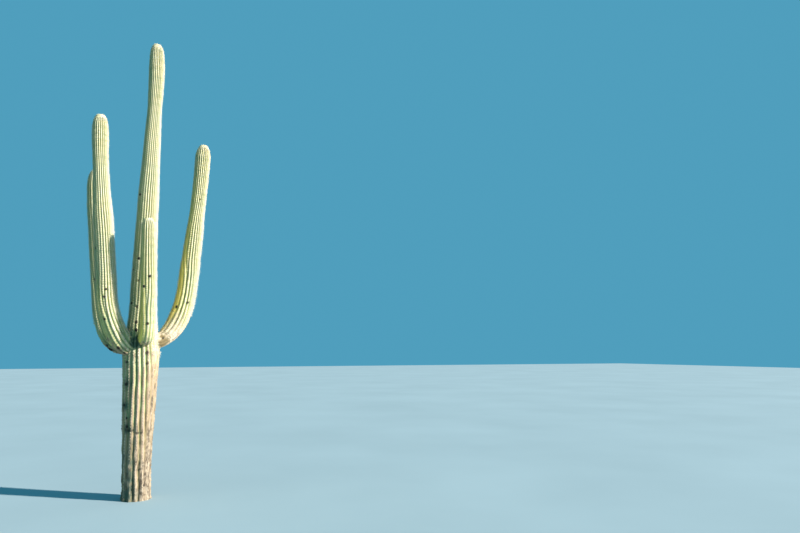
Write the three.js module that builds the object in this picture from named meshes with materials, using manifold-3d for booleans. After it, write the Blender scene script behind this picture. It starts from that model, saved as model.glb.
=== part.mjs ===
// A saguaro cactus, rooted in level ground: one ribbed trunk and four ribbed arms.
// The arms leave the trunk at about the same height, bend up through an elbow and climb as columns.
// Millimetres, +Z up. The origin is the middle of the flat cut under the trunk.
// +X is to the right and +Y away from the side that the short front arm stands on.

import * as THREE from "three";
import { LoftGeometry } from "three/addons/geometries/LoftGeometry.js";
import { mergeVertices } from "three/addons/utils/BufferGeometryUtils.js";
import Module from "manifold-3d";

// Clearances between solids that meet
const COLUMN_GAP = 0.3;
const NECK_GAP = 0.4;

// Ribs: how deep the pleats are against the stem's radius, how wide a new rib starts, the length
// that it widens over, where the shoulders of a crest lie, and how the new ribs' places are shuffled
const PLEAT_DEPTH = 0.13;
const FIRST_SLIVER = 0.06;
const RIB_GROWTH = 520;
const RIB_SHOULDERS = [0.3, 0.7];
const RIB_STRIDE = 5;

// Rounded tips: rings in each, how far they turn in, and how square the curve is
const TIP_RINGS = 4;
const TIP_TURN = THREE.MathUtils.degToRad(80);
const TIP_POWER = 0.95;

// How far from the trunk's middle each arm's neck starts, inside the trunk
const NECK_INSET = 70;

// The trunk: its middle line, and its radius at each height over the crests of the ribs
const TRUNK = {
  line: [
    [0, 0, 0],
    [-18, 0, 650],
    [-26, 0, 1500],
    [-42, 0, 2500],
    [-44, 0, 3350],
    [-33, 0, 4300],
    [-27, 0, 4950],
    [-40, 0, 5392],
  ],
  stout: [
    [0, 166], [120, 157], [420, 158], [860, 173], [1310, 187], [1600, 202], [1720, 195], [1890, 169],
    [2100, 149], [2420, 143], [2780, 132], [3200, 122], [3500, 118], [3900, 105], [4250, 96],
    [4550, 87], [4750, 92], [5070, 96], [5190, 92],
  ],
  crown: 205,
  ribs: { first: 14, added: 11, from: 350, to: 2600 },
  steps: 22,
};

// Each arm: the height and compass direction that its neck leaves at, how steeply it rises there,
// the foot and tip of its column, which way the column leans at both, in degrees towards +X and +Y,
// the lengths that the bend and the column are eased over, and the radius at each height
const ARMS = {
  left_arm: {
    neckHeight: 1656, heading: -150, rise: 0, reach: 185,
    foot: [-420, -186, 2264], footLean: [-4.5, -3], drop: 280,
    tip: [-597, -238, 4322], tipLean: [-1.5, 0], climb: 590,
    stout: [
      [1660, 98], [1700, 110], [1760, 120], [1930, 121], [2170, 117], [2500, 114], [2730, 111],
      [2960, 111], [3160, 108], [3330, 99], [3560, 91], [3800, 89], [4040, 93], [4140, 91],
    ],
    crown: 185, ribs: { first: 14, added: 9, from: 60, to: 700 },
  },
  back_arm: {
    neckHeight: 1676, heading: 138, rise: 0, reach: 370,
    foot: [-483, 200, 2232], footLean: [-6.5, 2], drop: 385,
    tip: [-648, 236, 3795], tipLean: [-4, 0], climb: 560,
    stout: [
      [1678, 92], [1720, 112], [1800, 119], [2000, 120], [2160, 117], [2530, 112], [2720, 110],
      [2940, 108], [3120, 106], [3300, 108], [3420, 107], [3520, 103],
    ],
    crown: 270, ribs: { first: 14, added: 9, from: 90, to: 820 },
  },
  right_arm: {
    neckHeight: 1762, heading: 15, rise: -12, reach: 240,
    foot: [446, 126, 2384], footLean: [5, 1.5], drop: 375,
    tip: [569, 152, 4228], tipLean: [1, 0], climb: 600,
    stout: [
      [1750, 96], [1800, 100], [1940, 119], [2060, 125], [2220, 120], [2530, 117], [2810, 112],
      [3100, 105], [3260, 97], [3400, 94], [3840, 96], [3990, 98],
    ],
    crown: 200, ribs: { first: 14, added: 9, from: 100, to: 1700 },
  },
  front_arm: {
    neckHeight: 1772, heading: -80, rise: -4, reach: 270,
    foot: [20, -358, 2080], footLean: [-2.5, -7], drop: 220,
    tip: [-27, -494, 3113], tipLean: [-2.5, 0], climb: 340,
    stout: [[1760, 84], [1900, 89], [2300, 89], [2750, 87], [2960, 82]],
    crown: 125, ribs: { first: 12, added: 6, from: 250, to: 1000 },
  },
};
const ELBOW_STEPS = 7;
const COLUMN_STEPS = 8;

// Colours: green skin on the arms, and the trunk's older, corky skin
const ARM_GREEN = "#a9b070";
const TRUNK_GREEN = "#a8a377";

// A smooth line through [place, value] pairs, level beyond the first and the last.
function smoothAt(pairs, place) {
  const last = pairs.length - 1;
  if (place <= pairs[0][0]) return pairs[0][1];
  if (place >= pairs[last][0]) return pairs[last][1];
  const i = pairs.findIndex((pair) => pair[0] > place) - 1;
  const slope = (k) => {
    const [before, after] = [pairs[Math.max(k - 1, 0)], pairs[Math.min(k + 1, last)]];
    return (after[1] - before[1]) / (after[0] - before[0]);
  };
  const span = pairs[i + 1][0] - pairs[i][0];
  const t = (place - pairs[i][0]) / span;
  const rise = pairs[i + 1][1] - pairs[i][1];
  const [startEase, endEase] = [slope(i) * span - rise, rise - slope(i + 1) * span];
  return pairs[i][1] + t * rise + t * (1 - t) * (startEase * (1 - t) + endEase * t);
}

// The share of the stem's girth that each rib takes. The first ribs are there from the foot.
// Each added one starts as a sliver in a valley, at its own place along the stem, and widens.
function ribShares({ first, added, from, to }, along) {
  const shares = [];
  const all = first + added;
  let order = 0;
  for (let i = 0; i < all; i += 1) {
    const isAdded = Math.floor(((i + 1) * added) / all) > Math.floor((i * added) / all);
    if (!isAdded) {
      shares.push(1);
      continue;
    }
    const start = from + ((to - from) * ((order * RIB_STRIDE) % added)) / added;
    const grown = THREE.MathUtils.smoothstep(along, start, start + RIB_GROWTH);
    shares.push(FIRST_SLIVER + (1 - FIRST_SLIVER) * grown);
    order += 1;
  }
  return shares;
}

// One ring of the skin: for each rib a valley and the two shoulders of its crest.
function ribbedRing(centre, across, forward, radius, depth, shares) {
  const whole = shares.reduce((sum, share) => sum + share, 0);
  const points = [];
  const add = (angle, reach) => {
    const point = centre.clone();
    point.addScaledVector(across, reach * Math.cos(angle));
    point.addScaledVector(forward, reach * Math.sin(angle));
    points.push(point);
  };
  let angle = 0;
  for (const share of shares) {
    const width = (share / whole) * 2 * Math.PI;
    const valley = radius - depth;
    add(angle, valley);
    for (const shoulder of RIB_SHOULDERS) add(angle + shoulder * width, valley + depth * share);
    angle += width;
  }
  return points;
}

// Where the rings stand: evenly from the start to the shoulder, then closing on the rounded tip.
function ringPlaces(start, length, steps, crown) {
  const places = [];
  const shoulder = length - crown;
  for (let i = 0; i <= steps; i += 1) {
    places.push({ along: start + ((shoulder - start) * i) / steps, shrink: 1 });
  }
  for (let k = 1; crown > 0 && k <= TIP_RINGS; k += 1) {
    const turn = (TIP_TURN * k) / TIP_RINGS;
    const climbed = (Math.sin(turn) / Math.sin(TIP_TURN)) ** TIP_POWER;
    places.push({ along: shoulder + crown * climbed, shrink: Math.cos(turn) ** TIP_POWER });
  }
  return places;
}

// The skin of a stem as a closed loft of ribbed rings. The facing gives each ring's two directions,
// passed is the length of stem below this piece, and swell widens the whole for a clearance.
function ribbedStem({ path, facing, places, stout, ribs, passed = 0, swell = 0 }) {
  const length = path.getLength();
  const sections = places.map(({ along, shrink }) => {
    const u = Math.min(along / length, 1);
    const centre = path.getPointAt(u);
    const { across, forward } = facing(path.getTangentAt(u));
    const radius = smoothAt(stout, centre.z) * shrink;
    const shares = ribShares(ribs, passed + along);
    return ribbedRing(centre, across, forward, radius + swell, radius * PLEAT_DEPTH, shares);
  });
  return new LoftGeometry(sections, { capStart: true, capEnd: true });
}

// The trunk's rings all lie level, so that its foot is a flat cut on the ground.
function trunkSkin(swell) {
  const path = new THREE.CatmullRomCurve3(TRUNK.line.map((point) => new THREE.Vector3(...point)));
  const level = { across: new THREE.Vector3(1, 0, 0), forward: new THREE.Vector3(0, 1, 0) };
  const places = ringPlaces(0, path.getLength(), TRUNK.steps, TRUNK.crown);
  return ribbedStem({ ...TRUNK, path, facing: () => level, places, swell });
}

// A direction that leans from upright by an angle towards +X and another towards +Y.
function leaning([towardsX, towardsY]) {
  const [x, y] = [towardsX, towardsY].map((angle) => Math.tan(THREE.MathUtils.degToRad(angle)));
  return new THREE.Vector3(x, y, 1).normalize();
}

// An arm's middle line: a bend from the trunk up to the column's foot, then the column.
function armLines(arm) {
  const heading = THREE.MathUtils.degToRad(arm.heading);
  const rise = THREE.MathUtils.degToRad(arm.rise);
  const outward = new THREE.Vector3(Math.cos(heading), Math.sin(heading), 0);
  const neckway = outward.clone().multiplyScalar(Math.cos(rise)).setZ(Math.sin(rise));
  const root = new THREE.Vector3(smoothAt(TRUNK.line.map(([x, , z]) => [z, x]), arm.neckHeight), 0, 0);
  root.addScaledVector(outward, NECK_INSET).setZ(arm.neckHeight);
  const foot = new THREE.Vector3(...arm.foot);
  const tip = new THREE.Vector3(...arm.tip);
  const [footway, tipway] = [leaning(arm.footLean), leaning(arm.tipLean)];
  const from = (point, way, length) => point.clone().addScaledVector(way, length);
  const bend = new THREE.CubicBezierCurve3(
    root, from(root, neckway, arm.reach), from(foot, footway, -arm.drop), foot,
  );
  const column = new THREE.CubicBezierCurve3(
    foot, from(foot, footway, arm.climb), from(tip, tipway, -arm.climb), tip,
  );
  return { bend, column };
}

// An arm's rings stand square to its middle line, with one direction kept level.
function armFacing(arm) {
  const heading = THREE.MathUtils.degToRad(arm.heading);
  const sideways = new THREE.Vector3(-Math.sin(heading), Math.cos(heading), 0);
  return (tangent) => {
    const forward = new THREE.Vector3().crossVectors(tangent, sideways).normalize();
    return { across: new THREE.Vector3().crossVectors(forward, tangent), forward };
  };
}

const wasm = await Module();
wasm.setup();

// A closed geometry as a solid that can be cut.
function solid(geometry) {
  const bare = new THREE.BufferGeometry();
  bare.setAttribute("position", geometry.attributes.position);
  bare.setIndex(geometry.index);
  const merged = mergeVertices(bare);
  const vertProperties = new Float32Array(merged.attributes.position.array);
  const triVerts = new Uint32Array(merged.index.array);
  return new wasm.Manifold(new wasm.Mesh({ numProp: 3, vertProperties, triVerts }));
}

// A cut solid as a geometry again, without any crumb that the cut left in one of the valleys.
function shell(cut) {
  const bodies = cut.decompose().sort((a, b) => b.volume() - a.volume());
  const { vertProperties, triVerts } = bodies[0].getMesh();
  const geometry = new THREE.BufferGeometry();
  geometry.setAttribute("position", new THREE.BufferAttribute(vertProperties, 3));
  geometry.setIndex(new THREE.BufferAttribute(triVerts, 1));
  geometry.computeVertexNormals();
  return geometry;
}

function limb(name, geometry, colour) {
  const skin = new THREE.MeshStandardMaterial({ color: colour, roughness: 0.7, metalness: 0 });
  const mesh = new THREE.Mesh(geometry, skin);
  mesh.name = name;
  return mesh;
}

// The elbow is cut to the trunk's own surface, and the column starts just clear of the elbow.
function armPieces(name, arm, trunkRoom) {
  const { bend, column } = armLines(arm);
  const facing = armFacing(arm);
  const bendLength = bend.getLength();
  const elbow = ribbedStem({
    ...arm, path: bend, facing, places: ringPlaces(0, bendLength, ELBOW_STEPS, 0),
  });
  const upright = ribbedStem({
    ...arm, path: column, facing, passed: bendLength,
    places: ringPlaces(COLUMN_GAP, column.getLength(), COLUMN_STEPS, arm.crown),
  });
  return [
    limb(`${name}_elbow`, shell(solid(elbow).subtract(trunkRoom)), ARM_GREEN),
    limb(`${name}_column`, upright, ARM_GREEN),
  ];
}

const saguaro = new THREE.Group();
saguaro.add(limb("trunk", trunkSkin(0), TRUNK_GREEN));
const trunkRoom = solid(trunkSkin(NECK_GAP));
for (const [name, arm] of Object.entries(ARMS)) saguaro.add(...armPieces(name, arm, trunkRoom));

export default saguaro;
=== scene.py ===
# %% [markdown]
# # A saguaro cactus
# The real thing is a desert giant: a pleated green column of water, with arms that bend up
# beside it. Its look is built in three layers: the ribbed skin, the scars and cork that age
# leaves on it, and thousands of spine clusters that sit in rows along the crests of the ribs.
#
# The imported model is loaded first. It is the fixed frame: every piece below is in metres and
# in its axes, with the ground at height 0 and the trunk's foot at the origin.

# %% Load the frame
import math
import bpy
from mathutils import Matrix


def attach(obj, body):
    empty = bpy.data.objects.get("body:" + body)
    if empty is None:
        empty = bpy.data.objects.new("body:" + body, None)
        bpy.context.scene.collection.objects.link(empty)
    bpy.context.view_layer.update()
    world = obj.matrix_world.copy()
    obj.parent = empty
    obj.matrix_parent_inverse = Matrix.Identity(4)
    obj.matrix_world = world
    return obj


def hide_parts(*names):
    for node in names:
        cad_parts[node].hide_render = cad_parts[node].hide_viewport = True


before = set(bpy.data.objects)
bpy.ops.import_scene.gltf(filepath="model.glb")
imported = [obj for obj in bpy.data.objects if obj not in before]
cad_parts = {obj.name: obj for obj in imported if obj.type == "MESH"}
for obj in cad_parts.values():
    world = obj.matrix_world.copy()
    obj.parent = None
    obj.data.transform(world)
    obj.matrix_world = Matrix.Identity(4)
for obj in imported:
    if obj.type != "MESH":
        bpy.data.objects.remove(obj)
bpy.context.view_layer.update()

from types import SimpleNamespace

import bpy
import numpy as np
from numpy.linalg import norm
from mathutils import Matrix, Vector

# %% [markdown]
# ## The camera
# A wide lens stands at a person's eye height and tips up a little, so the cactus towers as it
# does to somebody who walks up to it. The camera looks past it to the right, so it stands near
# the left edge of the picture.

# %% Camera
EYE_HEIGHT = 1.64
DISTANCE = 7.84
TILT_UP = 7.75
TURN_RIGHT = 22.18
LENS = 28


def set_camera():
    bpy.ops.object.camera_add(location=(0, -DISTANCE, EYE_HEIGHT))
    camera = bpy.context.object
    camera.name = "camera"
    camera.rotation_euler = (math.radians(90 + TILT_UP), 0, math.radians(-TURN_RIGHT))
    camera.data.lens = LENS
    camera.data.sensor_width = 36
    bpy.context.scene.camera = camera


set_camera()
print("camera", DISTANCE, "m from the trunk")

# %% [markdown]
# ## Colours and nodes
# Colours are given as sRGB hex values, but the renderer counts light, so one function turns
# them linear. Two more add a shader node and set it up, and the rest are short names for the
# nodes that come again and again.

# %% Helpers for materials


def linear(hex_colour):
    channels = [int(hex_colour[i:i + 2], 16) / 255 for i in (1, 3, 5)]
    return [c / 12.92 if c <= 0.04045 else ((c + 0.055) / 1.055) ** 2.4 for c in channels] + [1.0]


def set_up(tree, node, settings):
    """Sets properties and inputs. An input takes a value, a hex colour or a node's output."""
    for name, value in settings.items():
        if hasattr(node, str(name)):
            setattr(node, name, value)
        elif isinstance(value, bpy.types.NodeSocket):
            tree.links.new(value, node.inputs[name])
        else:
            node.inputs[name].default_value = linear(value) if isinstance(value, str) else value
    return node


def add(tree, kind, settings):
    return set_up(tree, tree.nodes.new(kind), settings)


def new_material(name):
    material = bpy.data.materials.new(name)
    material.use_nodes = True
    tree = material.node_tree
    return material, tree, tree.nodes["Principled BSDF"]


def ramp(tree, factor, stops):
    """A colour ramp through (place, hex colour) stops."""
    node = add(tree, "ShaderNodeValToRGB", {"Fac": factor})
    elements = node.color_ramp.elements
    while len(elements) < len(stops):
        elements.new(0.5)
    for element, (place, colour) in zip(elements, stops):
        element.position = place
        element.color = linear(colour)
    return node.outputs["Color"]


def blend(tree, factor, first, second):
    """Mixes two colours by a factor. The mixer's colours are its inputs 6 and 7."""
    return add(tree, "ShaderNodeMix", {"data_type": "RGBA", 0: factor, 6: first, 7: second}).outputs[2]


def fit_range(tree, value, low, high, to_low=0.0, to_high=1.0):
    """Stretches a value's range from low..high to another one, and clamps it."""
    return add(tree, "ShaderNodeMapRange", {"Value": value, "From Min": low, "From Max": high,
                                            "To Min": to_low, "To Max": to_high}).outputs["Result"]


def maths(tree, operation, first, second):
    return add(tree, "ShaderNodeMath", {"operation": operation, 0: first, 1: second}).outputs[0]


def own_place(tree):
    """Each point's place in metres, which doesn't change when the piece is moved."""
    return add(tree, "ShaderNodeTexCoord", {}).outputs["Object"]


def kept(tree, name):
    """A value that the mesh keeps for each of its points."""
    return add(tree, "ShaderNodeAttribute", {"attribute_name": name}).outputs["Fac"]


def noise(tree, place, millimetres, detail=3.0):
    """Cloudy noise whose blobs are about so many millimetres across."""
    return add(tree, "ShaderNodeTexNoise", {"Vector": place, "Scale": 1000 / millimetres,
                                            "Detail": detail}).outputs["Fac"]


# %% [markdown]
# ## Floor, sky and sun
# The plant stands on a plain pale floor. A low sun lamp from the right and in front rakes
# across the ribs, so each crest is lit and each valley falls dark, and the short front arm
# throws its shadow on the left arm. Its disc is wide enough to soften the edges a little. Its
# direction is two angles in degrees: towards the right, and above the ground. Blue
# surroundings fill the shadows and turn them teal.

# %% Floor and light
FLOOR_SIZE = 120
FLOOR_CLOUDS_MM = 2800
FLOOR_GREYS = [(0.3, "#8fa4a8"), (0.7, "#96abaf")]
LAMP_DISTANCE = 12
KEY_SIDE = 54.5
KEY_HEIGHT = 22.5
KEY_STRENGTH = 9.8
KEY_DISC = 1.8
KEY_COLOUR = "#fff7f2"
FILL_STRENGTH = 0.9
FILL_COLOUR = "#54a6c6"


def make_floor():
    bpy.ops.mesh.primitive_plane_add(size=FLOOR_SIZE)
    floor = bpy.context.object
    floor.name = "floor"
    material, tree, shader = new_material("pale_floor")
    clouds = noise(tree, own_place(tree), FLOOR_CLOUDS_MM)
    set_up(tree, shader, {"Base Color": ramp(tree, clouds, FLOOR_GREYS), "Roughness": 0.95})
    floor.data.materials.append(material)


def set_light():
    side, height = math.radians(KEY_SIDE), math.radians(KEY_HEIGHT)
    towards = Vector((math.sin(side) * math.cos(height), -math.cos(side) * math.cos(height),
                      math.sin(height)))
    bpy.ops.object.light_add(type="SUN", location=towards * LAMP_DISTANCE)
    key = bpy.context.object
    key.name = "key_light"
    key.rotation_euler = towards.to_track_quat("Z", "Y").to_euler()
    key.data.energy = KEY_STRENGTH
    key.data.angle = math.radians(KEY_DISC)
    key.data.color = linear(KEY_COLOUR)[:3]
    world = bpy.data.worlds.new("pale_sky")
    bpy.context.scene.world = world
    world.use_nodes = True
    set_up(world.node_tree, world.node_tree.nodes["Background"],
           {"Color": FILL_COLOUR, "Strength": FILL_STRENGTH})
    bpy.context.scene.view_settings.view_transform = "Standard"


make_floor()
set_light()

# %% [markdown]
# ## What the plant measures
# A stem is its middle line and its radius at each height. The trunk swells to the fork and
# then narrows, pinched where a dry year held it back. An arm leaves it nearly level through a
# narrow neck, bends up and climbs as a column. The solids have the same sizes.
#
# Ribs are how many a stem starts with, and the order and the stretch in which later ones are
# slipped in. One rib, an arm's first, is followed: the way its crest faces at some heights, in
# degrees. An arm also says how corky, smooth and pale its neck is, and how strongly its left
# side is painted yellow with bounced light, below which height.

# %% Sizes of the trunk and arms
LATER_RIBS = [2, 7, 12, 17, 22, 5, 10, 15, 20]
TRUNK = dict(
    line=[(0, 0), (0.65, -0.018), (1.5, -0.026), (2.5, -0.042), (3.35, -0.044), (4.3, -0.033),
          (4.95, -0.027), (5.392, -0.04)],
    stout=[(0, 0.166), (0.12, 0.157), (0.42, 0.158), (0.86, 0.173), (1.31, 0.187), (1.6, 0.202),
           (1.72, 0.195), (1.89, 0.169), (2.1, 0.149), (2.42, 0.143), (2.78, 0.132), (3.2, 0.122),
           (3.5, 0.118), (3.9, 0.105), (4.25, 0.096), (4.55, 0.087), (4.75, 0.092), (5.07, 0.096),
           (5.19, 0.092)],
    crown=0.205,
    ribs=dict(first=13, later=[0, 11, 21, 9, 5, 17, 2, 13, 23, 19, 3, 15],
              start=0.25, end=1.69, known=7,
              faces=[(0.3, -94), (0.8, -94), (1.1, -95), (1.35, -94.5), (1.65, -98.5), (2.6, -92),
                     (3.3, -91), (3.8, -89), (4.2, -87), (4.5, -82.5), (4.8, -80)]),
)
ARMS = {
    "left_arm": dict(
        neck_height=1.656, heading=-150, rise=0, reach=0.185,
        foot=(-0.42, -0.186, 2.264), foot_lean=(-4.5, -3), drop=0.28,
        tip=(-0.597, -0.238, 4.322), tip_lean=(-1.5, 0), climb=0.59,
        stout=[(1.66, 0.098), (1.7, 0.11), (1.76, 0.12), (1.93, 0.121), (2.17, 0.117), (2.5, 0.114),
               (2.73, 0.111), (2.96, 0.111), (3.16, 0.108), (3.33, 0.099), (3.56, 0.091), (3.8, 0.089),
               (4.04, 0.093), (4.14, 0.091)],
        crown=0.185, neck_cork=0.35, smooth_neck=0.4,
        painted_bounce=0.6, painted_bounce_below=2.6,
        ribs=dict(first=14, later=LATER_RIBS, start=0.06, end=0.7,
                  faces=[(2.3, -89), (3.0, -88), (3.3, -91.5), (3.9, -93.5)]),
    ),
    "back_arm": dict(
        neck_height=1.676, heading=138, rise=0, reach=0.37,
        foot=(-0.483, 0.2, 2.232), foot_lean=(-6.5, 2), drop=0.385,
        tip=(-0.648, 0.236, 3.795), tip_lean=(-4, 0), climb=0.56,
        stout=[(1.678, 0.092), (1.72, 0.112), (1.8, 0.119), (2.0, 0.12), (2.16, 0.117), (2.53, 0.112),
               (2.72, 0.11), (2.94, 0.108), (3.12, 0.106), (3.3, 0.108), (3.42, 0.107), (3.52, 0.103)],
        crown=0.27, neck_cork=0.35,
        ribs=dict(first=14, later=LATER_RIBS, start=0.09, end=0.82,
                  faces=[(2.3, -82), (3.5, -86)]),
    ),
    "right_arm": dict(
        neck_height=1.762, heading=15, rise=-12, reach=0.24,
        foot=(0.446, 0.126, 2.384), foot_lean=(5, 1.5), drop=0.375,
        tip=(0.569, 0.152, 4.228), tip_lean=(1, 0), climb=0.6,
        stout=[(1.75, 0.096), (1.8, 0.1), (1.94, 0.119), (2.06, 0.125), (2.22, 0.12), (2.53, 0.117),
               (2.81, 0.112), (3.1, 0.105), (3.26, 0.097), (3.4, 0.094), (3.84, 0.096), (3.99, 0.098)],
        crown=0.2, neck_cork=1.0, smooth_neck=0.6, pale_neck=0.9,
        painted_bounce=1.0, painted_bounce_below=4.0,
        ribs=dict(first=14, later=LATER_RIBS, start=0.1, end=1.7,
                  faces=[(2.35, -90), (2.55, -91), (2.75, -99), (3.25, -103), (3.5, -97), (3.8, -96.5)]),
    ),
    "front_arm": dict(
        neck_height=1.772, heading=-80, rise=-4, reach=0.27,
        foot=(0.02, -0.358, 2.08), foot_lean=(-2.5, -7), drop=0.22,
        tip=(-0.027, -0.494, 3.113), tip_lean=(-2.5, 0), climb=0.34,
        stout=[(1.76, 0.084), (1.9, 0.089), (2.3, 0.089), (2.75, 0.087), (2.96, 0.082)],
        crown=0.125, neck_cork=0.1, smooth_neck=0.7,
        painted_bounce=1.0, painted_bounce_below=3.2,
        ribs=dict(first=12, later=[2, 17, 14, 11, 8, 5], start=0.25, end=1.0,
                  faces=[(2.0, -88), (2.1, -89), (2.3, -79), (2.7, -81)]),
    ),
}
NECK_INSET = 0.07
LIMBS = {"trunk": TRUNK, **ARMS}


def smooth_at(pairs, place):
    """A smooth line through (place, value) pairs, level beyond the first and the last."""
    places, values = np.array(pairs, float).T
    before, after = np.maximum(np.arange(len(places)) - 1, 0), np.arange(len(places)) + 1
    after = np.minimum(after, len(places) - 1)
    slopes = (values[after] - values[before]) / (places[after] - places[before])
    place = np.clip(place, places[0], places[-1])
    i = np.clip(np.searchsorted(places, place, side="right") - 1, 0, len(places) - 2)
    span = places[i + 1] - places[i]
    t = (place - places[i]) / span
    rise = values[i + 1] - values[i]
    ease = (slopes[i] * span - rise) * (1 - t) + (rise - slopes[i + 1] * span) * t
    return values[i] + t * rise + t * (1 - t) * ease


print(len(ARMS), "arms on a trunk", TRUNK["line"][-1][0], "m tall")

# %% [markdown]
# ## Middle lines
# The trunk's middle line wanders a few centimetres as it climbs. An arm's is two Bezier
# curves, the bend and the column, that share a direction where they meet. Each line is walked
# in small steps and measured, so that rings can be set at known lengths along it.

# %% Middle lines
STEPS = 600


def leaning(towards):
    way = np.array([math.tan(math.radians(towards[0])), math.tan(math.radians(towards[1])), 1.0])
    return way / norm(way)


def bezier(points):
    t = np.linspace(0, 1, STEPS)[:, None]
    a, b, c, d = [np.array(p, float) for p in points]
    return (1 - t) ** 3 * a + 3 * (1 - t) ** 2 * t * b + 3 * (1 - t) * t ** 2 * c + t ** 3 * d


def trunk_line():
    heights = np.linspace(0, TRUNK["line"][-1][0], STEPS)
    return np.stack([smooth_at(TRUNK["line"], heights), 0 * heights, heights], 1)


def arm_line(arm):
    heading, rise = math.radians(arm["heading"]), math.radians(arm["rise"])
    outward = np.array([math.cos(heading), math.sin(heading), 0.0])
    neckway = outward * math.cos(rise) + np.array([0, 0, math.sin(rise)])
    root = outward * NECK_INSET + [smooth_at(TRUNK["line"], arm["neck_height"]), 0, arm["neck_height"]]
    foot, tip = np.array(arm["foot"]), np.array(arm["tip"])
    footway, tipway = leaning(arm["foot_lean"]), leaning(arm["tip_lean"])
    bend = bezier([root, root + neckway * arm["reach"], foot - footway * arm["drop"], foot])
    column = bezier([foot, foot + footway * arm["climb"], tip - tipway * arm["climb"], tip])
    return np.vstack([bend, column[1:]])


def walked(line):
    """How far along the line each of its points lies."""
    return np.concatenate([[0], np.cumsum(norm(np.diff(line, axis=0), axis=1))])


LINES = {"trunk": trunk_line(), **{name: arm_line(arm) for name, arm in ARMS.items()}}
for name, line in LINES.items():
    print(name, "is", round(walked(line)[-1], 2), "m long")

# %% [markdown]
# ## Ribs
# The pleats let the stem swell with rain and shrink in drought. Their number grows with
# height: a new rib starts as a sliver in a valley and widens until it takes its full share.
# The rings of the skin are half an areole apart. The spacings of the areoles are given by the
# distance from the tip.

# %% Ribs and rings
POINTS_PER_RIB = 8
FIRST_SLIVER = 0.06
RIB_GROWTH = 0.52
AREOLE_SPACING = [(0, 0.011), (0.1, 0.015), (0.3, 0.019), (0.9, 0.024), (2.6, 0.028), (5.4, 0.033)]


def fade(distance, over):
    """0 where the distance is nothing or less, rising to 1 where it is `over` or more."""
    return np.clip(distance / over, 0, 1)


def rib_shares(ribs, along):
    """Each rib's share of the girth, for each ring: an array of rings by ribs."""
    later = ribs["later"]
    shares = np.ones((len(along), ribs["first"] + len(later)))
    for start, rib in zip(np.linspace(ribs["start"], ribs["end"], len(later), endpoint=False), later):
        t = fade(along - start, RIB_GROWTH)
        shares[:, rib] = FIRST_SLIVER + (1 - FIRST_SLIVER) * t * t * (3 - 2 * t)
    return shares


def ring_places(length):
    """Where the rings lie along the stem, closer and closer towards the tip."""
    places = [0.0]
    while places[-1] < length:
        places.append(places[-1] + smooth_at(AREOLE_SPACING, length - places[-1]) / 2)
    return np.array(places) * length / places[-1]


def ripples(seed, place, size, count=5):
    """A smooth wander between about -1 and 1, the same on each run."""
    rng = np.random.default_rng(seed)
    waves = [np.sin(2 * math.pi * place / (size * rng.uniform(0.6, 1.8)) + rng.uniform(0, 7))
             for _ in range(count)]
    return sum(waves) / math.sqrt(count) / 1.2


print("a rib has", POINTS_PER_RIB, "points across")

# %% [markdown]
# ## Rings on the middle line
# Each ring has a centre, two directions that it is drawn in and a radius, which closes to a
# dome at the tip and wanders a little: slow swellings, and faint bands from each year's
# growth. The skin lies a few millimetres inside the solid to leave room for the spines, but
# not low on the trunk, where they are worn down.

# %% Rings
DOME_POWER = 0.95
WANDERS = [(0.008, 0.35), (0.005, 0.12), (0.009, 0.07)]
PINCH_SHADE_SHARE = 0.3
SPINE_ROOM = 0.01
SPINY_ABOVE = [(1.3, 0.0), (2.0, 1.0)]


def unit(vectors):
    return vectors / norm(vectors, axis=1)[:, None]


def facings(name, tangents):
    """The two directions that each ring is drawn in."""
    if name == "trunk":
        level = np.tile(np.eye(3)[:2], (len(tangents), 1, 1))
        return level[:, 0], level[:, 1]
    heading = math.radians(ARMS[name]["heading"])
    sideways = np.array([-math.sin(heading), math.cos(heading), 0.0])
    forward = unit(np.cross(tangents, sideways))
    return np.cross(forward, tangents), forward


def ring_centres(name):
    line, lengths = LINES[name], walked(LINES[name])
    along = ring_places(lengths[-1])
    centre = np.stack([np.interp(along, lengths, line[:, k]) for k in range(3)], 1)
    slope = np.gradient(line, lengths, axis=0)
    tangents = np.stack([np.interp(along, lengths, slope[:, k]) for k in range(3)], 1)
    return along, centre, unit(tangents)


def ring_radii(limb, along, heights, seed):
    into_crown = fade(along - along[-1] + limb["crown"], limb["crown"])
    shrink = (1 - into_crown ** (2 / DOME_POWER)) ** (DOME_POWER / 2)
    wander = 1
    for k, (share, length) in enumerate(WANDERS):
        wander = wander + share * ripples(seed + k, along, length)
    room = SPINE_ROOM * smooth_at(SPINY_ABOVE, heights)
    return (smooth_at(limb["stout"], heights) - room) * shrink * wander


def painted_pinch_shade(along, seed):
    """How much of each ring's paleness is kept: less in the pinch of each band, as painted shade."""
    length = WANDERS[-1][1]
    return 1 - PINCH_SHADE_SHARE * np.clip(-ripples(seed + len(WANDERS) - 1, along, length), 0, 1)


for name, limb in LIMBS.items():
    print(name, "has", len(ring_centres(name)[0]), "rings")

# %% [markdown]
# ## The skin's surface
# A rib is round on its crest and meets its neighbour in a sharp valley. Valleys are shallower
# at an arm's smooth neck, on the sunny side of the old trunk, where weather has worn it, and
# on the shady side of the swollen foot. Areoles of neighbouring ribs sit in alternate rings,
# so each rib swells at one ring and dips at the next, less so on the old trunk. The surface is
# a grid of points: a row for each ring and a column for each point round it.

# %% Surface of one stem
PLEAT_DEPTH = 0.165
CREST_POWER = 1.6
PHASES = np.arange(POINTS_PER_RIB) / POINTS_PER_RIB
RIB_WANDER = 0.05
WANDER_LENGTH = 0.5
AREOLE_SWELL = 0.1
SUNNY_SIDE = np.array([0.94, -0.34, 0.0])
WEATHERED_BELOW = 1.95
WEATHER_FADE = 0.3
SWOLLEN_BELOW = 0.9
WORN_SHARE = 0.65
WORN_BUMPS = 0.85
OLD_SHARE = 0.25
BARE_CREST = 0.8
NECK_END = 0.715
NECK_FADE = 0.55


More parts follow.
